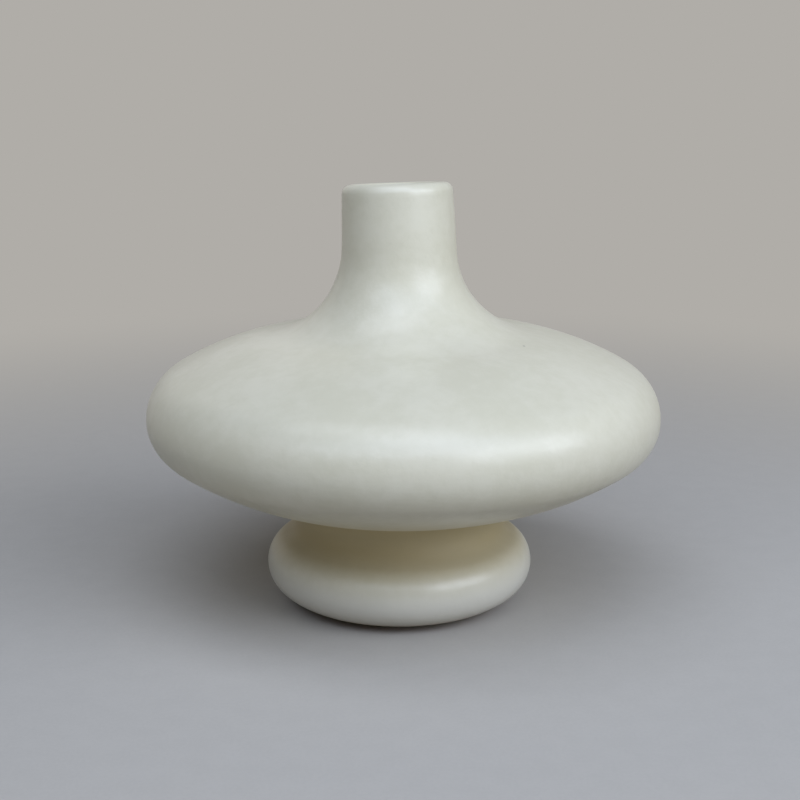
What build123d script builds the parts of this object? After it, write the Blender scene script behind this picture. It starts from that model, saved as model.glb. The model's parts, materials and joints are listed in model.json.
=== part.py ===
from build123d import *
import os
from math import acos, cos, degrees, radians, sin, tan

# Pillow vase of glazed stoneware, turned in five clay sections that are luted together with slip.
# The frame has +Z up, and its origin is at the centre of the ring that the vase stands on.
# Lengths are in millimetres and angles in degrees. The outline is a chain of tangent arcs: a curve
# is an arc's radius, and a turn is how far the wall tips over along it. A lean is the sum of the
# turns: 0 where the wall is upright, at the widest circles and at the waist, and 90 where it is flat.

# Pillow body, at the outside of the clay
body_radius = 114.5
shoulder_edge_curve = 23.0
shoulder_edge_turn = 60.5
shoulder_turn = 20.5
belly_edge_curve = 18.5
belly_edge_turn = 55.0
belly_turn = 24.5

# Neck, at the outside of the clay, and its wall at the lip
neck_flare_curve = 40.5
neck_radius = 24.9
neck_lean = 2.2
neck_length = 28.0
neck_wall = 4.8
lip_outer_curve = 3.5
lip_flat = 0.2

# Waist and foot, at the outside of the clay
waist_radius = 45.2
waist_curve = 10.5
foot_swell = 15.1
foot_top_curve = 13.0
foot_side_curve = 13.8
foot_side_turn = 53.0
foot_under_curve = 32.5
foot_under_turn = 11.0
foot_heel_curve = 6.0

# Foot ring
ring_height = 2.3
ring_width = 7.0
ring_inset = 5.9
ring_edge_round = 0.8

# Walls, joints and coats
wall = 5.0
floor_thickness = 6.5
joint_step = 3.0
slip_thickness = 0.6
glaze_thickness = 0.5
bare_heel_height = 1.0
mouth_glaze_depth = 1.8


def comes_in(curve, lean_from, lean_to):
    """How far an arc of this radius comes in towards the axis between two leans."""
    return curve * (cos(radians(lean_from)) - cos(radians(lean_to)))


def climbs(curve, lean_from, lean_to):
    """How far an arc of this radius goes up or down between two leans."""
    return curve * (sin(radians(lean_to)) - sin(radians(lean_from)))


# Leans where the arcs meet
shoulder_lean = shoulder_edge_turn + shoulder_turn
belly_lean = belly_edge_turn + belly_turn
foot_top_lean = degrees(acos(1 - foot_swell / (waist_curve + foot_top_curve)))
foot_under_lean = foot_side_turn + foot_under_turn
heel_turn = 90 - foot_under_lean

# Arcs that fill the room left between the widest circle, the neck and the waist
shoulder_room = body_radius - comes_in(shoulder_edge_curve, 0, shoulder_edge_turn)
shoulder_room -= neck_radius + comes_in(neck_flare_curve, neck_lean, shoulder_lean)
shoulder_curve = shoulder_room / comes_in(1, shoulder_edge_turn, shoulder_lean)
belly_room = body_radius - comes_in(belly_edge_curve, 0, belly_edge_turn)
belly_room -= waist_radius + comes_in(waist_curve, 0, belly_lean)
belly_curve = belly_room / comes_in(1, belly_edge_turn, belly_lean)

# Heights, stacked up from the ring
underside_z = ring_height + slip_thickness
floor_z = underside_z + floor_thickness
foot_widest_z = underside_z + climbs(foot_heel_curve, foot_under_lean, 90)
foot_widest_z += climbs(foot_under_curve, foot_side_turn, foot_under_lean)
foot_widest_z += climbs(foot_side_curve, 0, foot_side_turn)
waist_z = foot_widest_z + climbs(foot_top_curve + waist_curve, 0, foot_top_lean)
body_widest_z = waist_z + climbs(waist_curve, 0, belly_lean)
body_widest_z += climbs(belly_curve, belly_edge_turn, belly_lean)
body_widest_z += climbs(belly_edge_curve, 0, belly_edge_turn)
neck_root_z = body_widest_z + climbs(shoulder_edge_curve, 0, shoulder_edge_turn)
neck_root_z += climbs(shoulder_curve, shoulder_edge_turn, shoulder_lean)
neck_root_z += climbs(neck_flare_curve, neck_lean, shoulder_lean)
rim_z = neck_root_z + neck_length

# Radii of the lip, the bore and the foot ring
rim_radius = neck_radius - neck_length * tan(radians(neck_lean))
bore_radius = rim_radius - neck_wall
lip_outer_reach = lip_outer_curve * tan(radians(90 - neck_lean) / 2)
lip_inner_curve = neck_wall - lip_flat - lip_outer_reach
underside_radius = waist_radius + foot_swell - comes_in(foot_side_curve, 0, foot_side_turn)
underside_radius -= comes_in(foot_under_curve, foot_side_turn, foot_under_lean)
underside_radius -= comes_in(foot_heel_curve, foot_under_lean, 90)
ring_outer_radius = underside_radius - ring_inset

# Half section of the outer form, with the axis at x = 0 and the height as y
with BuildSketch(Plane.XZ) as outer_form:
    with BuildLine():
        widest = (body_radius, body_widest_z)
        edge = JernArc(widest, (0, 1), shoulder_edge_curve, shoulder_edge_turn)
        shoulder = JernArc(edge @ 1, edge % 1, shoulder_curve, shoulder_turn)
        flare = JernArc(shoulder @ 1, shoulder % 1, neck_flare_curve, neck_lean - shoulder_lean)
        Polyline(flare @ 1, (rim_radius, rim_z), (0, rim_z), (0, underside_z))
        edge = JernArc(widest, (0, -1), belly_edge_curve, -belly_edge_turn)
        belly = JernArc(edge @ 1, edge % 1, belly_curve, -belly_turn)
        waist = JernArc(belly @ 1, belly % 1, waist_curve, belly_lean + foot_top_lean)
        top = JernArc(waist @ 1, waist % 1, foot_top_curve, -foot_top_lean)
        side = JernArc(top @ 1, top % 1, foot_side_curve, -foot_side_turn)
        under = JernArc(side @ 1, side % 1, foot_under_curve, -foot_under_turn)
        heel = JernArc(under @ 1, under % 1, foot_heel_curve, -heel_turn)
        Line(heel @ 1, (0, underside_z))
    make_face()

# Half section of the hollow: the outer form less its wall, with a straight bore and a flat floor
with BuildSketch(Plane.XZ) as hollow:
    with BuildLine():
        widest = (body_radius - wall, body_widest_z)
        edge = JernArc(widest, (0, 1), shoulder_edge_curve - wall, shoulder_edge_turn)
        shoulder = JernArc(edge @ 1, edge % 1, shoulder_curve - wall, shoulder_turn)
        bore_flare_curve = ((shoulder @ 1).X - bore_radius) / comes_in(1, 0, shoulder_lean)
        flare = JernArc(shoulder @ 1, shoulder % 1, bore_flare_curve, -shoulder_lean)
        Polyline(flare @ 1, (bore_radius, rim_z), (0, rim_z), (0, floor_z))
        edge = JernArc(widest, (0, -1), belly_edge_curve - wall, -belly_edge_turn)
        belly = JernArc(edge @ 1, edge % 1, belly_curve - wall, -belly_turn)
        waist = JernArc(belly @ 1, belly % 1, waist_curve + wall, belly_lean + foot_top_lean)
        top = JernArc(waist @ 1, waist % 1, foot_top_curve - wall, -foot_top_lean)
        corner = JernArc(top @ 1, top % 1, foot_widest_z - floor_z, -90)
        Line(corner @ 1, (0, floor_z))
    make_face()

# Half section of all the clay, with its lip rounded widely outside and tightly inside
with BuildSketch(Plane.XZ) as clay:
    add(outer_form.sketch_local)
    add(hollow.sketch_local, mode=Mode.SUBTRACT)
    fillet(clay.vertices().group_by(Axis.Y)[-1].sort_by(Axis.X)[-1], lip_outer_curve)
    fillet(clay.vertices().group_by(Axis.Y)[-1].sort_by(Axis.X)[0], lip_inner_curve)

# Half section of the glaze that goes all round the clay
with BuildSketch(Plane.XZ) as coat:
    add(clay.sketch_local)
    offset(amount=glaze_thickness)
    add(clay.sketch_local, mode=Mode.SUBTRACT)

# The stepped joints, each in the middle of the wall and at a height where the wall is upright
waist_joint = (waist_radius - wall / 2, waist_z)
belly_joint = (body_radius - wall / 2, body_widest_z)
neck_joint = ((neck_radius + bore_radius) / 2, neck_root_z)

# A radius and a height that are clear of the whole vase
outside = 2 * body_radius
overhead = 2 * rim_z


def region(*corners):
    """A flat area with these corners, to cut a half section with."""
    with BuildSketch(mode=Mode.PRIVATE) as area:
        with BuildLine():
            Polyline(*corners, close=True)
        make_face()
    return area.sketch_local


def joint_line(joint, gap):
    """The step of a joint from outside to the axis, moved up and out by a gap."""
    step_radius, height = joint
    return [
        (outside, height + gap),
        (step_radius + gap, height + gap),
        (step_radius + gap, height + joint_step + gap),
        (0, height + joint_step + gap),
    ]


def below(joint):
    """Everything under a joint's lower face."""
    return region(*joint_line(joint, 0), (0, 0), (outside, 0))


def above(joint):
    """Everything over a joint's upper face."""
    return region(*joint_line(joint, slip_thickness), (0, overhead), (outside, overhead))


def between(joint):
    """The stepped strip between a joint's two faces, which the slip fills."""
    return region(*joint_line(joint, 0), *reversed(joint_line(joint, slip_thickness)))


os.makedirs("parts", exist_ok=True)

# Foot ring: the bare clay that touches the table
with BuildPart() as foot_ring:
    with BuildSketch(Plane.XZ) as ring_section:
        with Locations((ring_outer_radius, 0)):
            Rectangle(ring_width, ring_height, align=(Align.MAX, Align.MIN))
        fillet(ring_section.vertices().group_by(Axis.Y)[0], ring_edge_round)
    revolve(axis=Axis.Z)
foot_ring.part.label = "foot_ring"
export_step(foot_ring.part, "parts/foot_ring.step")

# Slip between the ring and the foot's underside
with BuildPart() as ring_slip_seam:
    with BuildSketch(Plane.XZ):
        with Locations((ring_outer_radius, ring_height)):
            Rectangle(ring_width, slip_thickness, align=(Align.MAX, Align.MIN))
    revolve(axis=Axis.Z)
ring_slip_seam.part.label = "ring_slip_seam"
export_step(ring_slip_seam.part, "parts/ring_slip_seam.step")

# Foot bowl: the squat foot, which has the vase's floor in it
with BuildPart() as foot_bowl:
    with BuildSketch(Plane.XZ):
        add(clay.sketch_local)
        add(below(waist_joint), mode=Mode.INTERSECT)
    revolve(axis=Axis.Z)
foot_bowl.part.label = "foot_bowl"
export_step(foot_bowl.part, "parts/foot_bowl.step")

# Slip in the joint at the waist
with BuildPart() as waist_slip_seam:
    with BuildSketch(Plane.XZ):
        add(clay.sketch_local)
        add(between(waist_joint), mode=Mode.INTERSECT)
    revolve(axis=Axis.Z)
waist_slip_seam.part.label = "waist_slip_seam"
export_step(waist_slip_seam.part, "parts/waist_slip_seam.step")

# Belly bowl: the lower half of the pillow
with BuildPart() as belly_bowl:
    with BuildSketch(Plane.XZ):
        add(clay.sketch_local)
        add(above(waist_joint), mode=Mode.INTERSECT)
        add(below(belly_joint), mode=Mode.INTERSECT)
    revolve(axis=Axis.Z)
belly_bowl.part.label = "belly_bowl"
export_step(belly_bowl.part, "parts/belly_bowl.step")

# Slip in the joint at the widest circle
with BuildPart() as belly_slip_seam:
    with BuildSketch(Plane.XZ):
        add(clay.sketch_local)
        add(between(belly_joint), mode=Mode.INTERSECT)
    revolve(axis=Axis.Z)
belly_slip_seam.part.label = "belly_slip_seam"
export_step(belly_slip_seam.part, "parts/belly_slip_seam.step")

# Shoulder bowl: the upper half of the pillow, with the flare up to the neck
with BuildPart() as shoulder_bowl:
    with BuildSketch(Plane.XZ):
        add(clay.sketch_local)
        add(above(belly_joint), mode=Mode.INTERSECT)
        add(below(neck_joint), mode=Mode.INTERSECT)
    revolve(axis=Axis.Z)
shoulder_bowl.part.label = "shoulder_bowl"
export_step(shoulder_bowl.part, "parts/shoulder_bowl.step")

# Slip in the joint at the neck's root
with BuildPart() as neck_slip_seam:
    with BuildSketch(Plane.XZ):
        add(clay.sketch_local)
        add(between(neck_joint), mode=Mode.INTERSECT)
    revolve(axis=Axis.Z)
neck_slip_seam.part.label = "neck_slip_seam"
export_step(neck_slip_seam.part, "parts/neck_slip_seam.step")

# Neck: the short tube with the rounded lip
with BuildPart() as neck:
    with BuildSketch(Plane.XZ):
        add(clay.sketch_local)
        add(above(neck_joint), mode=Mode.INTERSECT)
    revolve(axis=Axis.Z)
neck.part.label = "neck"
export_step(neck.part, "parts/neck.step")

# The hollow up to the line in the bore where the liner glaze meets the outer glaze
mouth_line_z = rim_z - lip_inner_curve - mouth_glaze_depth
below_mouth_line = region((0, 0), (outside, 0), (outside, mouth_line_z), (0, mouth_line_z))
with BuildSketch(Plane.XZ) as lined_hollow:
    add(hollow.sketch_local)
    add(below_mouth_line, mode=Mode.INTERSECT)

# Outer glaze: it goes over the lip and a little way down the bore, and leaves the heel bare
heel_line_z = underside_z + bare_heel_height
above_heel_line = region((0, heel_line_z), (outside, heel_line_z), (outside, overhead), (0, overhead))
with BuildPart() as outer_glaze:
    with BuildSketch(Plane.XZ):
        add(coat.sketch_local)
        add(above_heel_line, mode=Mode.INTERSECT)
        add(lined_hollow.sketch_local, mode=Mode.SUBTRACT)
    revolve(axis=Axis.Z)
outer_glaze.part.label = "outer_glaze"
export_step(outer_glaze.part, "parts/outer_glaze.step")

# Liner glaze: it covers the floor and the walls inside, up to the outer glaze
with BuildPart() as liner_glaze:
    with BuildSketch(Plane.XZ):
        add(coat.sketch_local)
        add(lined_hollow.sketch_local, mode=Mode.INTERSECT)
    revolve(axis=Axis.Z)
liner_glaze.part.label = "liner_glaze"
export_step(liner_glaze.part, "parts/liner_glaze.step")
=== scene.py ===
# %% [markdown]
# # A pillow vase in ivory glaze
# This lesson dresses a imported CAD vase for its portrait. The pot is turned in five clay sections, which
# are luted together with slip and dipped in a satin ivory glaze. The CAD frame already has every section
# in its true place and size, so the work here is what a camera sees: the two coats of glaze, the slight
# lean of a pot that was put together by hand, the finishes, the light and the view.

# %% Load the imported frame
import json
from math import acos, ceil, cos, degrees, pi, radians, sin, tan

import bmesh
import bpy
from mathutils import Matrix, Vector


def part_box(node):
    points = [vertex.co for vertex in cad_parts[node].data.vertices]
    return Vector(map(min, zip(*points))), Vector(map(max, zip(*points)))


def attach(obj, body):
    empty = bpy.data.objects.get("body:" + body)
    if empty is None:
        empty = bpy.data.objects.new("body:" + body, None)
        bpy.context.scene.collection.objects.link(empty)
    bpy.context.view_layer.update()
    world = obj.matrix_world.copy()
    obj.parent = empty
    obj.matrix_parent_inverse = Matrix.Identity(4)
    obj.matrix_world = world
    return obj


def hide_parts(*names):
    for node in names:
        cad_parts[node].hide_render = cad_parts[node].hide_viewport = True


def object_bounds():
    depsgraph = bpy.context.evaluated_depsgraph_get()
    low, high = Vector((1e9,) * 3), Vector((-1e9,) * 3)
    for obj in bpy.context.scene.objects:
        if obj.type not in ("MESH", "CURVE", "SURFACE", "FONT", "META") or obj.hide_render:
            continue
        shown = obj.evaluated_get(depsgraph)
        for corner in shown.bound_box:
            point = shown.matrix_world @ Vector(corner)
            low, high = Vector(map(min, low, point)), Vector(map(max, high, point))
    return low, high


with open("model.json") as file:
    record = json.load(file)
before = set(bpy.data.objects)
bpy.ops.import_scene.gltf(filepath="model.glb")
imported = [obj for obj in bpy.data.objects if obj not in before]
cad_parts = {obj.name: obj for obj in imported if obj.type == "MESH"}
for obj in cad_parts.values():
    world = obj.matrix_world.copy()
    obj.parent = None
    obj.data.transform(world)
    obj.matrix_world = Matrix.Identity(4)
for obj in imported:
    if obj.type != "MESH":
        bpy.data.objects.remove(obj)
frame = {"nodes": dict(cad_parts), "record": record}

scene = bpy.context.scene
scene.view_settings.view_transform = "Standard"
nodes = frame["nodes"]
cad_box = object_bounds()
print("sections and coats in the frame:", ", ".join(sorted(nodes)))
print("CAD box in mm:", [[round(1000 * c, 1) for c in corner] for corner in cad_box])

# %% [markdown]
# ## The camera
# The photograph was taken from a little above the rim, straight on. Fitting the outline of the vase and
# the camera together gives a lens of 63 mm on a 36 mm sensor, 617 mm in front of the turning axis and
# 240 mm above the table. A long lens further back would flatten the foot's ellipse, so the distance
# matters as much as the framing.

# %% Stand the camera in front of the vase
camera_data = bpy.data.cameras.new("portrait_lens")
camera_data.lens = 63.0
camera_data.sensor_width = 36.0
camera = bpy.data.objects.new("portrait_camera", camera_data)
camera.location = (0.00032, -0.61706, 0.23998)
camera_tilt = 13.46
camera.rotation_euler = (radians(90 - camera_tilt), 0, 0)
scene.collection.objects.link(camera)
scene.camera = camera
print("camera", camera_data.lens, "mm lens, looking down by", camera_tilt, "degrees")

# %% [markdown]
# ## The floor and the backdrop
# A studio uses one roll of pale paper that sweeps up behind the object, so that no hard line crosses the
# picture. Other views go right round the vase, so here the sweep goes round as well: an outline of floor,
# corner and upright is spun into a wide dish, with its corner bevelled into a soft sweep.

# %% Spin the paper sweep
def spin_round(bm, segments):
    """Turns an outline about the vase's axis into a closed surface."""
    bmesh.ops.spin(bm, geom=bm.verts[:] + bm.edges[:], cent=(0, 0, 0), axis=(0, 0, 1), angle=2 * pi,
                   steps=segments, use_merge=True)


def finish_mesh(bm, name):
    """Puts a bmesh into a new object at the origin, with smooth faces that point outwards."""
    bmesh.ops.remove_doubles(bm, verts=bm.verts, dist=1e-6)
    bmesh.ops.recalc_face_normals(bm, faces=bm.faces)
    for face in bm.faces:
        face.smooth = True
    mesh = bpy.data.meshes.new(name)
    bm.to_mesh(mesh)
    bm.free()
    piece = bpy.data.objects.new(name, mesh)
    scene.collection.objects.link(piece)
    return piece


sweep_radius = 2.4
sweep_height = 2.2
sweep_bend = 1.0
bm = bmesh.new()
corners = [(0, 0, 0), (sweep_radius, 0, 0), (sweep_radius, 0, sweep_height)]
line = [bmesh.ops.create_vert(bm, co=corner)["vert"][0] for corner in corners]
for pair in zip(line, line[1:]):
    bm.edges.new(pair)
bmesh.ops.bevel(bm, geom=[line[1]], offset=sweep_bend, offset_type="OFFSET", segments=16, profile=0.5,
                affect="VERTICES", material=-1)
spin_round(bm, segments=96)
sweep = finish_mesh(bm, "paper_sweep")
sweep.data.flip_normals()
print("paper sweep:", len(sweep.data.polygons), "faces")

# %% [markdown]
# ## The light
# The vase stands in soft daylight from the front and the right, high up: a wide highlight with a straight
# upper edge lies along the front of the body, the left side falls into shade, and the shadow under the
# heel is dark. One lamp can't give that. A broad flat panel makes the highlight, because its straight edge
# stays straight in the glaze. A low one at the right reaches under the body to the foot, one overhead
# lights the shoulder, and a weak one behind, with an even sky, fills the shade. All of them stay at a plain
# level, at which the glaze's colour renders about as it is written.

# %% Hang the panels and light the sky
body_middle = Vector((0, 0, 0.1))
reach = 1.6


def hang_panel(name, azimuth, elevation, size, power, colour):
    """An area lamp that faces the body of the vase, from a side and a height in degrees."""
    lamp = bpy.data.lights.new(name, "AREA")
    lamp.shape = "RECTANGLE"
    lamp.size, lamp.size_y = size
    lamp.energy = power
    lamp.color = colour
    panel = bpy.data.objects.new(name, lamp)
    side, height = radians(azimuth), radians(elevation)
    away = Vector((sin(side) * cos(height), -cos(side) * cos(height), sin(height)))
    panel.location = body_middle + reach * away
    panel.rotation_euler = (-away).to_track_quat("-Z", "Y").to_euler()
    panel.visible_camera = False
    scene.collection.objects.link(panel)


daylight = (0.88, 1.0, 1.23)
softlight = (0.93, 1.0, 1.14)
bounce = (1.06, 1.0, 0.90)
hang_panel("sky_panel", 12, 50, (3.0, 0.95), 17.8, daylight)
hang_panel("side_panel", 56, 26, (1.5, 0.65), 10.2, softlight)
hang_panel("top_panel", -30, 76, (1.4, 0.8), 6.2, softlight)
hang_panel("fill_panel", -150, 30, (1.2, 1.4), 1.4, bounce)
sky = bpy.data.worlds.new("even_sky")
sky.use_nodes = True
sky_light = sky.node_tree.nodes["Background"].inputs
sky_light["Color"].default_value = (*bounce, 1)
sky_light["Strength"].default_value = 0.02
scene.world = sky

# %% [markdown]
# ## How the pot settled
# A pot from several sections is never quite true. In the photograph the pillow sits nearly 2 mm to the
# right of the foot, and the neck leans a little to the left and back, so that its lip is lower at the left
# and its mouth hardly shows. Moving whole sections would open the joints. Instead one smooth rule moves
# every point by its height, and each piece above the waist goes through it, so glaze and clay stay together.

# %% Write the rule
pillow_shift = 0.00185
neck_lean_left = radians(2.0)
neck_lean_back = radians(3.6)
shift_starts = (0.044, 0.064)
shift_ends = (0.112, 0.150)
lean_starts = (0.152, 0.172)


def ease(value, low, high):
    """From 0 at low to 1 at high, with a soft start and end."""
    share = min(max((value - low) / (high - low), 0.0), 1.0)
    return share * share * (3 - 2 * share)


def settled(point):
    """Where a point of the true turned form lies on the pot as it was put together."""
    x, y, z = point
    low, high = lean_starts
    share = min(max((z - low) / (high - low), 0.0), 1.0)
    bent = (high - low) * (share**3 - share**4 / 2) + max(z - high, 0.0)
    shift = pillow_shift * ease(z, *shift_starts) * (1 - ease(z, *shift_ends))
    tilt = ease(z, low, high) * (neck_lean_left * x - neck_lean_back * y)
    return Vector((x + shift - neck_lean_left * bent, y + neck_lean_back * bent, z + tilt))


def settle(bm):
    """Moves every point of a bmesh by the rule."""
    for vert in bm.verts:
        vert.co = settled(vert.co)


rim_middle = Vector((0, 0, cad_box[1].z))
rim_move = settled(rim_middle) - rim_middle
print("the rim moves by", [round(1000 * c, 2) for c in rim_move], "mm")

# %% [markdown]
# ## A pen for turned outlines
# The outline of a turned pot is a chain of arcs that run smoothly into each other. It could be a curve
# with handles, but then the radii would be guesses. Here a pen draws the arcs themselves: spinning one
# vertex about an arc's centre leaves a row of edges behind it, and the next arc goes on from its end.

# %% Make the pen
mm = 0.001


class Pen:
    """Draws arcs and straight runs in the XZ plane, where X is the radius and Z the height."""

    def __init__(self, bm, radius, height, heading, step):
        self.bm = bm
        self.heading = radians(heading)
        self.step = step
        self.tip = bmesh.ops.create_vert(bm, co=(radius, 0, height))["vert"][0]

    def arc(self, curve, turn):
        """An arc of this radius. The turn is in degrees, and to the left if it is positive."""
        left = 1 if turn > 0 else -1
        angle = abs(radians(turn))
        across = left * Vector((-sin(self.heading), 0, cos(self.heading)))
        drawn = bmesh.ops.spin(self.bm, geom=[self.tip], cent=self.tip.co + curve * across,
                               axis=(0, -left, 0), angle=angle, steps=max(4, ceil(angle * curve / self.step)))
        self.tip = drawn["geom_last"][0]
        self.heading += radians(turn)

    def run(self, length):
        """A straight run in the pen's heading."""
        steps = max(1, ceil(length / self.step))
        along = Vector((cos(self.heading), 0, sin(self.heading)))
        for _ in range(steps):
            self.tip = bmesh.ops.extrude_vert_indiv(self.bm, verts=[self.tip])["verts"][0]
            bmesh.ops.translate(self.bm, verts=[self.tip], vec=along * length / steps)


print("the pen is ready")

# %% [markdown]
# ## The arcs of the clay
# The clay's outline is known from the CAD. Each of its arcs has a curve, which is its radius, and a turn,
# which is how far the wall tips over along it, in degrees. They are named here once, because both coats
# follow them: the ivory one on the outside of the clay, and the liner, apart from its bore and its floor, a
# wall's thickness further in.

# %% Name the arcs
shoulder_edge_curve = 23.0 * mm
shoulder_edge_turn = 60.5
shoulder_curve = 130.3 * mm
shoulder_turn = 20.5
shoulder_lean = shoulder_edge_turn + shoulder_turn
neck_flare_curve = 40.5 * mm
belly_edge_curve = 18.5 * mm
belly_edge_turn = 55.0
belly_curve = 135.0 * mm
belly_turn = 24.5
belly_lean = belly_edge_turn + belly_turn
waist_curve = 10.5 * mm
foot_top_curve = 13.0 * mm
foot_swell = 15.1 * mm
foot_top_turn = degrees(acos(1 - foot_swell / (waist_curve + foot_top_curve)))
foot_side_curve = 13.8 * mm
foot_side_turn = 53.0
foot_under_curve = 32.5 * mm
wall = 5.0 * mm
widest_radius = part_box("belly_bowl")[1].x
widest_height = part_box("belly_slip_seam")[0].z
print("widest circle:", round(widest_radius / mm, 2), "mm in radius, at", round(widest_height / mm, 2), "mm")

# %% [markdown]
# ## A coat of glaze
# A coat lies on the clay like a skin. Its free side follows the clay's arcs, wider on a swelling and tighter
# in a hollow by the coat's depth, and it ends in a round bead, as a melted edge does. Solidify could give a
# surface that depth, but with a square edge. So the pen draws both sides, the free one in fine steps because
# it shows, and the bead between them.

# %% Draw a coat on a clay outline
coat_depth = 0.5 * mm
fine_step = 1.8 * mm
coarse_step = 4.0 * mm
weld_reach = 0.01 * mm


def draw_coat(bm, clay_radius, height, way, moves, depth):
    """Draws a coat from the widest circle up (way 1) or down (way -1). A move is a clay arc, as (curve,
    turn), or a straight run, as (length, 0), or (None, 0) for a run to the axis. The depth is negative for
    a coat inside the clay."""
    for offset, step in ((depth, fine_step), (0, coarse_step)):
        pen = Pen(bm, clay_radius + offset, height, 90 * way, step)
        for size, turn in moves:
            if turn:
                pen.arc(size + (offset if turn * way > 0 else -offset), turn)
            else:
                pen.run(pen.tip.co.x if size is None else size)
        if offset and pen.tip.co.x > mm:
            pen.arc(abs(depth) / 2, 180 * way if depth > 0 else -180 * way)
    return pen.tip.co.copy()


def count_triangles(piece):
    """How many triangles a piece's faces come to."""
    return sum(len(face.vertices) - 2 for face in piece.data.polygons)


print("a coat is", coat_depth / mm, "mm deep")

# %% [markdown]
# ## The outer glaze
# The ivory coat is nearly all that shows. It runs from the bare heel up over foot, waist, pillow and neck,
# over the lip and a little way down the mouth. The CAD coat could stay, but its long triangles would show
# in the highlight. So the coat is drawn afresh, from the widest circle up and down, and spun round.

# %% Draw and spin the outer coat
neck_length = 28.0 * mm
neck_taper = 2.2
neck_wall = 4.8 * mm
lip_outer = 3.5 * mm
lip_flat = 0.2 * mm
mouth_glaze = 1.8 * mm
heel_glaze_turn = 8.4
outer_reach = lip_outer * tan(radians(90 - neck_taper) / 2)
lip_inner = neck_wall - lip_flat - outer_reach
neck_run = neck_length / cos(radians(neck_taper)) - outer_reach
upwards = [
    (shoulder_edge_curve, shoulder_edge_turn), (shoulder_curve, shoulder_turn),
    (neck_flare_curve, neck_taper - shoulder_lean), (neck_run, 0),
    (lip_outer, 90 - neck_taper), (lip_flat, 0), (lip_inner, 90), (mouth_glaze, 0),
]
downwards = [
    (belly_edge_curve, -belly_edge_turn), (belly_curve, -belly_turn),
    (waist_curve, belly_lean + foot_top_turn), (foot_top_curve, -foot_top_turn),
    (foot_side_curve, -foot_side_turn), (foot_under_curve, -heel_glaze_turn),
]
bm = bmesh.new()
mouth_end = draw_coat(bm, widest_radius, widest_height, 1, upwards, coat_depth)
heel_end = draw_coat(bm, widest_radius, widest_height, -1, downwards, coat_depth)
bmesh.ops.remove_doubles(bm, verts=bm.verts, dist=weld_reach)
spin_round(bm, segments=240)
settle(bm)
outer_glaze = finish_mesh(bm, "ivory_coat")
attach(outer_glaze, "root")
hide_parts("outer_glaze")
print("ivory coat ends at heights", round(heel_end.z / mm, 2), "and", round(mouth_end.z / mm, 2), "mm;",
      count_triangles(outer_glaze), "triangles")

# %% [markdown]
# ## The liner glaze
# Inside, the vase is glazed too, or it would not hold water. The liner follows the hollow: a straight bore,
# the flare under it, the pillow, the waist and the foot's flat floor. Some of it shows through the mouth,
# so it is drawn with the same pen, as a coat that lies on the inner side of the clay.

# %% Draw and spin the liner
bore = frame["record"]["mounts"][1]
bore_radius = bore["dims"]["r_mm"] * mm + coat_depth
hollow_radius = widest_radius - wall
edge_curve = shoulder_edge_curve - wall
slope_curve = shoulder_curve - wall
floor_corner = 8.43 * mm
edge_lean = radians(shoulder_edge_turn)
flare_lean = radians(shoulder_lean)
slope_in = edge_curve * (1 - cos(edge_lean)) + slope_curve * (cos(edge_lean) - cos(flare_lean))
flare_curve = (hollow_radius - slope_in - bore_radius) / (1 - cos(flare_lean))
slope_up = edge_curve * sin(edge_lean) + slope_curve * (sin(flare_lean) - sin(edge_lean))
flare_top = widest_height + slope_up + flare_curve * sin(flare_lean)
bore_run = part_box("liner_glaze")[1].z - coat_depth - flare_top
upwards = [
    (edge_curve, shoulder_edge_turn), (slope_curve, shoulder_turn), (flare_curve, -shoulder_lean),
    (bore_run, 0),
]
downwards = [
    (belly_edge_curve - wall, -belly_edge_turn), (belly_curve - wall, -belly_turn),
    (waist_curve + wall, belly_lean + foot_top_turn), (foot_top_curve - wall, -foot_top_turn),
    (floor_corner, -90.0), (None, 0),
]
bm = bmesh.new()
mouth_end = draw_coat(bm, hollow_radius, widest_height, 1, upwards, -coat_depth)
floor_end = draw_coat(bm, hollow_radius, widest_height, -1, downwards, -coat_depth)
bmesh.ops.remove_doubles(bm, verts=bm.verts, dist=weld_reach)
spin_round(bm, segments=180)
bmesh.ops.remove_doubles(bm, verts=bm.verts, dist=weld_reach)
settle(bm)
liner_glaze = finish_mesh(bm, "liner_coat")
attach(liner_glaze, "root")
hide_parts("liner_glaze")
print("liner coat ends at heights", round(floor_end.z / mm, 2), "and", round(mouth_end.z / mm, 2), "mm;",
      count_triangles(liner_glaze), "triangles")

# %% [markdown]
# ## The clay between the coats
# Foot and waist stand true, so their CAD sections stay as they are. The sections above them have to go
# with the glaze, or they would come through it. Each is copied, its loose triangles are merged, and the
# copy goes through the same rule.

# %% Settle the upper sections
upper_sections = {
    "belly_bowl": "bare_stoneware", "belly_slip_seam": "joining_slip", "shoulder_bowl": "bare_stoneware",
    "neck_slip_seam": "joining_slip", "neck": "bare_stoneware",
}
sections = {name: nodes[name] for name in ("foot_ring", "ring_slip_seam", "foot_bowl", "waist_slip_seam")}
for name, slot in upper_sections.items():
    bm = bmesh.new()
    bm.from_mesh(nodes[name].data)
    bmesh.ops.remove_doubles(bm, verts=bm.verts, dist=0.001 * mm)
    settle(bm)
    section = finish_mesh(bm, name + "_settled")
    section.data.set_sharp_from_angle(angle=radians(35))
    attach(section, "root")
    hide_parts(name)
    sections[name] = section
print("settled:", ", ".join(upper_sections))

# %% [markdown]
# ## Building materials from nodes
# Every finish here is made of nodes that read Object coordinates, in metres, so that a speck or a ring has
# its real size and stays on its place. A few small helpers keep the node work short: they place a node with
# its settings and inputs, do sums, blend colours, and start a group with named sockets.

# %% Helpers for nodes
def paint(red, green, blue):
    """A colour as a picture shows it, from 0 to 255, as the linear colour that shaders take."""
    return tuple(((c / 255 + 0.055) / 1.055) ** 2.4 for c in (red, green, blue)) + (1,)


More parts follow.
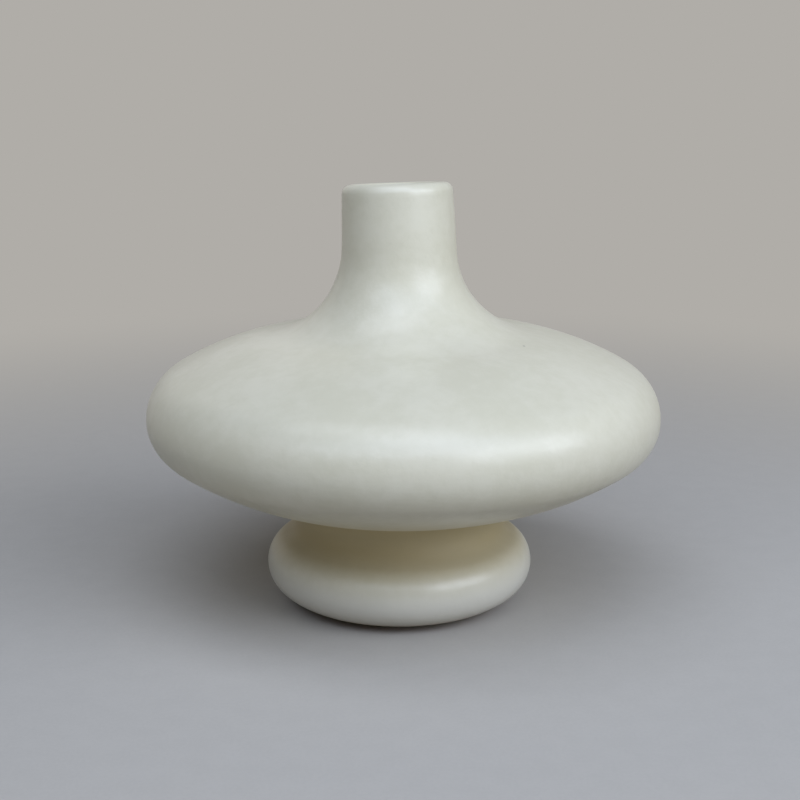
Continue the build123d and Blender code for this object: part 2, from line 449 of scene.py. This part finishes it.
def place(tree, kind, inputs=None, **settings):
    """A new node with its settings, and with a value or a link on each input that is named or numbered."""
    made = tree.nodes.new(kind)
    for name, value in settings.items():
        setattr(made, name, value)
    for name, value in (inputs or {}).items():
        if isinstance(value, bpy.types.NodeSocket):
            tree.links.new(value, made.inputs[name])
        else:
            made.inputs[name].default_value = value
    return made


def blend_colours(tree, share, first, second):
    """A colour between two, by a share from 0 to 1."""
    mixed = place(tree, "ShaderNodeMix", {0: share, 6: first, 7: second}, data_type="RGBA")
    return mixed.outputs[2]


def ramp(tree, value, low, high, to_low=0.0, to_high=1.0):
    """A value brought smoothly from one range to another, and kept in it."""
    mapped = place(tree, "ShaderNodeMapRange", {0: value, 1: low, 2: high, 3: to_low, 4: to_high},
                   interpolation_type="SMOOTHSTEP")
    return mapped.outputs[0]


def calculate(tree, operation, first, second=0.0):
    """One step of arithmetic."""
    return place(tree, "ShaderNodeMath", {0: first, 1: second}, operation=operation).outputs[0]


def tint(tree, body, mask, share, colour):
    """A colour laid over another where a mask says, up to a share."""
    return blend_colours(tree, calculate(tree, "MULTIPLY", mask, share), body, colour)


def add_up(tree, *parts):
    """The sum of some values, each given as (value, share)."""
    first, *others = [calculate(tree, "MULTIPLY", value, share) for value, share in parts]
    for other in others:
        first = calculate(tree, "ADD", first, other)
    return first


def from_axis(tree):
    """A point's distance from the turning axis, and its height."""
    spot = place(tree, "ShaderNodeTexCoord").outputs["Object"]
    axis = place(tree, "ShaderNodeSeparateXYZ", {0: spot}).outputs
    across = place(tree, "ShaderNodeCombineXYZ", {0: axis[0], 1: axis[1]}).outputs[0]
    radius = place(tree, "ShaderNodeVectorMath", {0: across}, operation="LENGTH").outputs["Value"]
    return radius, axis[2]


def start_group(name, inputs, outputs):
    """A shader node group with number inputs, as {name: value}, and number outputs."""
    group = bpy.data.node_groups.new(name, "ShaderNodeTree")
    for socket, value in inputs.items():
        made = group.interface.new_socket(socket, in_out="INPUT", socket_type="NodeSocketFloat")
        made.default_value = value
    for socket in outputs:
        group.interface.new_socket(socket, in_out="OUTPUT", socket_type="NodeSocketFloat")
    return group, group.nodes.new("NodeGroupInput").outputs, group.nodes.new("NodeGroupOutput").inputs


def use_group(tree, group, inputs=None):
    """A node that holds a group, with its own values."""
    return place(tree, "ShaderNodeGroup", inputs, node_tree=group).outputs


print("node helpers are ready")

# %% [markdown]
# ## Clouds
# No dipped coat is even: it flows a little while it melts, and where it is thicker it is paler and denser.
# Two sizes of noise together give that, wide drifts and small curds. Both glazes and the clay use the
# group, each with its own size.

# %% Make the clouds group
clouds, given, result = start_group("uneven_clouds", {"Size": 30.0, "Curds": 0.35}, ["Cloud"])
spot = place(clouds, "ShaderNodeTexCoord").outputs["Object"]
drift = place(clouds, "ShaderNodeTexNoise", {"Vector": spot, "Scale": given["Size"], "Detail": 3.0})
curd_size = calculate(clouds, "MULTIPLY", given["Size"], 7.0)
curd = place(clouds, "ShaderNodeTexNoise",
             {"Vector": spot, "Scale": curd_size, "Detail": 5.0, "Roughness": 0.6})
both = place(clouds, "ShaderNodeMix", {0: given["Curds"], 2: drift.outputs[0], 3: curd.outputs[0]}).outputs[0]
clouds.links.new(ramp(clouds, both, 0.35, 0.65), result["Cloud"])
print("group", clouds.name)

# %% [markdown]
# ## Iron specks
# Stoneware holds grains of iron that bleed through the glaze as tiny brown dots. The photograph shows a
# clear one on the right of the shoulder, which gets its own place in the ivory glaze, and hardly any others.
# For those, a cell texture puts one grain in each cell, keeps only a few cells, and draws a soft dot round
# each grain that is left.

# %% Make the specks group
specks, given, result = start_group("iron_specks", {"Cells": 60.0, "Share": 0.1, "Radius": 0.02}, ["Speck"])
spot = place(specks, "ShaderNodeTexCoord").outputs["Object"]
cells = place(specks, "ShaderNodeTexVoronoi", {"Vector": spot, "Scale": given["Cells"]})
draw = place(specks, "ShaderNodeSeparateColor", {0: cells.outputs["Color"]}).outputs
kept = calculate(specks, "LESS_THAN", draw[0], given["Share"])
size = calculate(specks, "MULTIPLY", given["Radius"], ramp(specks, draw[1], 0.0, 1.0, 0.4, 1.0))
edge = calculate(specks, "DIVIDE", cells.outputs["Distance"], size)
dot = calculate(specks, "MULTIPLY", kept, ramp(specks, edge, 0.6, 1.0, 1.0, 0.0))
specks.links.new(dot, result["Speck"])
print("group", specks.name)

# %% [markdown]
# ## Turning rings
# A pot that is thrown and trimmed on a wheel keeps faint rings from the fingers and the tool. On an upright
# wall they follow the height and on a flat floor the radius, so the group counts them along the sum of both.
# They drift and fade, which a little noise in the count and in the depth gives.

# %% Make the rings group
rings, given, result = start_group("turning_rings", {"Per_metre": 250.0, "Drift": 1.5}, ["Height"])
radius, height = from_axis(rings)
along = calculate(rings, "ADD", height, radius)
spot = place(rings, "ShaderNodeTexCoord").outputs["Object"]
waver = place(rings, "ShaderNodeTexNoise", {"Vector": spot, "Scale": 14.0, "Detail": 2.0}).outputs[0]
count = add_up(rings, (along, given["Per_metre"]), (waver, given["Drift"]))
turn = place(rings, "ShaderNodeTexNoise", {"W": count, "Scale": 1.0, "Detail": 2.0}, noise_dimensions="1D")
rings.links.new(turn.outputs[0], result["Height"])
print("group", rings.name)

# %% [markdown]
# ## The skin
# Up close a satin glaze is not a mirror: it has a fine skin of shallow dimples, with a pinhole here and
# there where a bubble broke. It is far too fine to model, so it goes into the bump.

# %% Make the skin group
skin, given, result = start_group("fine_skin", {"Grain": 700.0, "Pinholes": 0.02}, ["Height"])
spot = place(skin, "ShaderNodeTexCoord").outputs["Object"]
dimples = place(skin, "ShaderNodeTexNoise", {"Vector": spot, "Scale": given["Grain"], "Detail": 2.0})
holes = use_group(skin, specks, {"Cells": 180.0, "Share": given["Pinholes"], "Radius": 0.05})["Speck"]
skin.links.new(add_up(skin, (dimples.outputs[0], 1.0), (holes, -3.0)), result["Height"])
print("group", skin.name)

# %% [markdown]
# ## The ivory glaze
# Satin, opaque and warm white. It is creamy and matt where it pooled in the waist, and that band round the
# waist is also darkened and warmed as painted shade under the body. The foot is made paler as painted light,
# the glaze is thin and warm at the heel, and one clear iron speck lies on the right of the shoulder. The
# colour is mixed from those parts, the roughness follows the clouds and the pool, and one bump holds the
# gentle swells of a coat that flowed, the turning rings and the skin.

# %% Mix the ivory glaze
def start_material(name):
    """A material with its node tree and its Principled shader's inputs."""
    made = bpy.data.materials.new(name)
    made.use_nodes = True
    return made, made.node_tree, made.node_tree.nodes["Principled BSDF"].inputs


def bump(tree, height, depth):
    """A normal from a height from 0 to 1 that stands for this depth in metres."""
    return place(tree, "ShaderNodeBump", {"Strength": 1.0, "Distance": depth, "Height": height}).outputs[0]


ivory, tree, shader = start_material("ivory_glaze")
spot = place(tree, "ShaderNodeTexCoord").outputs["Object"]
height = place(tree, "ShaderNodeSeparateXYZ", {0: spot}).outputs[2]
cloud = use_group(tree, clouds, {"Size": 28.0, "Curds": 0.4})["Cloud"]
body = blend_colours(tree, cloud, paint(220, 215, 192), paint(228, 223, 202))
# Painted shade: a darker, warmer band under the body round the waist, partly creamier pooled glaze.
pool_shade_low = ramp(tree, height, 22 * mm, 36 * mm)
pool_shade_high = ramp(tree, height, 46 * mm, 68 * mm, 1.0, 0.0)
pool_and_painted_shade = calculate(tree, "MULTIPLY", pool_shade_low, pool_shade_high)
body = tint(tree, body, pool_and_painted_shade, 0.9, paint(204, 188, 144))
# Painted light: the lower foot is made paler, standing in for the light that falls on it.
painted_foot_light = ramp(tree, height, 12 * mm, 27 * mm, 1.0, 0.0)
body = tint(tree, body, painted_foot_light, 0.75, paint(240, 237, 226))
thin = ramp(tree, height, 4.0 * mm, 7.5 * mm, 1.0, 0.0)
body = tint(tree, body, thin, 0.35, paint(214, 199, 170))
speck = use_group(tree, specks, {"Cells": 45.0, "Share": 0.10, "Radius": 0.011})["Speck"]
body = tint(tree, body, speck, 0.55, paint(128, 112, 90))
clear_speck = Vector((53.35, -29.4, 123.08)) * mm
off_speck = place(tree, "ShaderNodeVectorMath", {0: spot, 1: clear_speck}, operation="DISTANCE")
clear_dot = ramp(tree, off_speck.outputs["Value"], 0.3 * mm, 0.85 * mm, 1.0, 0.0)
body = tint(tree, body, clear_dot, 0.75, paint(118, 108, 92))
tree.links.new(body, shader["Base Color"])
shader["IOR"].default_value = 1.58
sheen = ramp(tree, cloud, 0.0, 1.0, 0.34, 0.28)
tree.links.new(add_up(tree, (sheen, 1.0), (pool_and_painted_shade, 0.3)), shader["Roughness"])
dimples = use_group(tree, skin, {"Grain": 650.0, "Pinholes": 0.03})["Height"]
ring = use_group(tree, rings, {"Per_metre": 160.0, "Drift": 2.0})["Height"]
relief = add_up(tree, (dimples, 0.05), (ring, 0.3), (cloud, 0.65))
tree.links.new(bump(tree, relief, 0.12 * mm), shader["Normal"])
outer_glaze.data.materials.append(ivory)
print("material", ivory.name, "with", len(tree.nodes), "nodes")

# %% [markdown]
# ## The liner glaze
# The same recipe, poured in and swilled round: creamier, glossier, and with the finger rings left in it,
# since nobody smooths the inside.

# %% Mix the liner glaze
cream, tree, shader = start_material("liner_glaze")
cloud = use_group(tree, clouds, {"Size": 40.0, "Curds": 0.3})["Cloud"]
body = blend_colours(tree, cloud, paint(214, 208, 188), paint(222, 217, 200))
speck = use_group(tree, specks, {"Cells": 70.0, "Share": 0.12, "Radius": 0.02})["Speck"]
body = tint(tree, body, speck, 0.7, paint(118, 96, 72))
tree.links.new(body, shader["Base Color"])
tree.links.new(ramp(tree, cloud, 0.0, 1.0, 0.28, 0.2), shader["Roughness"])
ring = use_group(tree, rings, {"Per_metre": 200.0, "Drift": 1.0})["Height"]
tree.links.new(bump(tree, ring, 0.3 * mm), shader["Normal"])
liner_glaze.data.materials.append(cream)
print("material", cream.name, "with", len(tree.nodes), "nodes")

# %% [markdown]
# ## Bare stoneware
# The ring and the heel are wiped clean of glaze, so that the pot does not stick to the kiln shelf. The
# fired clay is buff, dry and gritty, with tool rings, dark grains, and a toasted line where the glaze ends.

# %% Mix the stoneware
buff, tree, shader = start_material("bare_stoneware")
radius = from_axis(tree)[0]
cloud = use_group(tree, clouds, {"Size": 60.0, "Curds": 0.5})["Cloud"]
body = blend_colours(tree, cloud, paint(196, 176, 146), paint(209, 191, 163))
toast = ramp(tree, radius, 45.5 * mm, 48.5 * mm)
body = tint(tree, body, toast, 0.6, paint(184, 142, 98))
grain = use_group(tree, specks, {"Cells": 260.0, "Share": 0.22, "Radius": 0.12})["Speck"]
body = tint(tree, body, grain, 0.7, paint(104, 78, 54))
tree.links.new(body, shader["Base Color"])
tree.links.new(ramp(tree, cloud, 0.0, 1.0, 0.92, 0.8), shader["Roughness"])
ring = use_group(tree, rings, {"Per_metre": 900.0, "Drift": 1.0})["Height"]
grit = use_group(tree, skin, {"Grain": 1500.0, "Pinholes": 0.1})["Height"]
relief = add_up(tree, (ring, 0.6), (grit, 0.4))
tree.links.new(bump(tree, relief, 0.3 * mm), shader["Normal"])
print("material", buff.name, "with", len(tree.nodes), "nodes")

# %% [markdown]
# ## Joining slip
# Slip is the same clay, sieved and stirred to a cream. It fires a shade darker and smoother, and it only
# shows as a fine line above the foot ring.

# %% Mix the slip and coat the sections
slip, tree, shader = start_material("joining_slip")
cloud = use_group(tree, clouds, {"Size": 120.0, "Curds": 0.5})["Cloud"]
body = blend_colours(tree, cloud, paint(176, 156, 128), paint(190, 170, 141))
tree.links.new(body, shader["Base Color"])
tree.links.new(ramp(tree, cloud, 0.0, 1.0, 0.85, 0.7), shader["Roughness"])
grit = use_group(tree, skin, {"Grain": 1200.0, "Pinholes": 0.05})["Height"]
tree.links.new(bump(tree, grit, 0.1 * mm), shader["Normal"])
for name, section in sections.items():
    section.data.materials.clear()
    section.data.materials.append(slip if name.endswith("slip_seam") else buff)
print("clay and slip on", len(sections), "sections")

# %% [markdown]
# ## The paper
# Plain pale paper, with a faint fibre that keeps the floor from looking like fog. Paper as pale as it has to
# look would throw too much light up under the body, so it is paler where the camera, a reflection or a glass
# looks at it. More light at the far end would also fall on the vase, so the paper there glows by itself
# instead, as pale as it is written. Near the vase it is lit paper with a shadow.

# %% Mix the paper
paper, tree, shader = start_material("pale_paper")
fibre = use_group(tree, clouds, {"Size": 90.0, "Curds": 0.6})["Cloud"]
sheet = blend_colours(tree, fibre, paint(160, 155, 147), paint(166, 161, 153))
light_path = place(tree, "ShaderNodeLightPath").outputs
looked_at = calculate(tree, "MAXIMUM", light_path["Is Camera Ray"], light_path["Is Glossy Ray"])
looked_at = calculate(tree, "MAXIMUM", looked_at, light_path["Is Transmission Ray"])
sheet = tint(tree, sheet, looked_at, 0.35, paint(232, 229, 224))
tree.links.new(sheet, shader["Base Color"])
shader["Roughness"].default_value = 0.95
shader["Specular IOR Level"].default_value = 0.2
spot = place(tree, "ShaderNodeTexCoord").outputs["Object"]
distance = place(tree, "ShaderNodeVectorMath", {0: spot}, operation="LENGTH").outputs["Value"]
glow_starts, glow_full = 0.16, 0.8
far = calculate(tree, "MULTIPLY", looked_at, ramp(tree, distance, glow_starts, glow_full))
glow = place(tree, "ShaderNodeEmission", {"Color": paint(176, 173, 168), "Strength": 1.0}).outputs[0]
lit = tree.nodes["Principled BSDF"].outputs[0]
both = place(tree, "ShaderNodeMixShader", {0: far, 1: lit, 2: glow}).outputs[0]
tree.links.new(both, tree.nodes["Material Output"].inputs["Surface"])
sweep.data.materials.append(paper)
print("material", paper.name, "with", len(tree.nodes), "nodes")
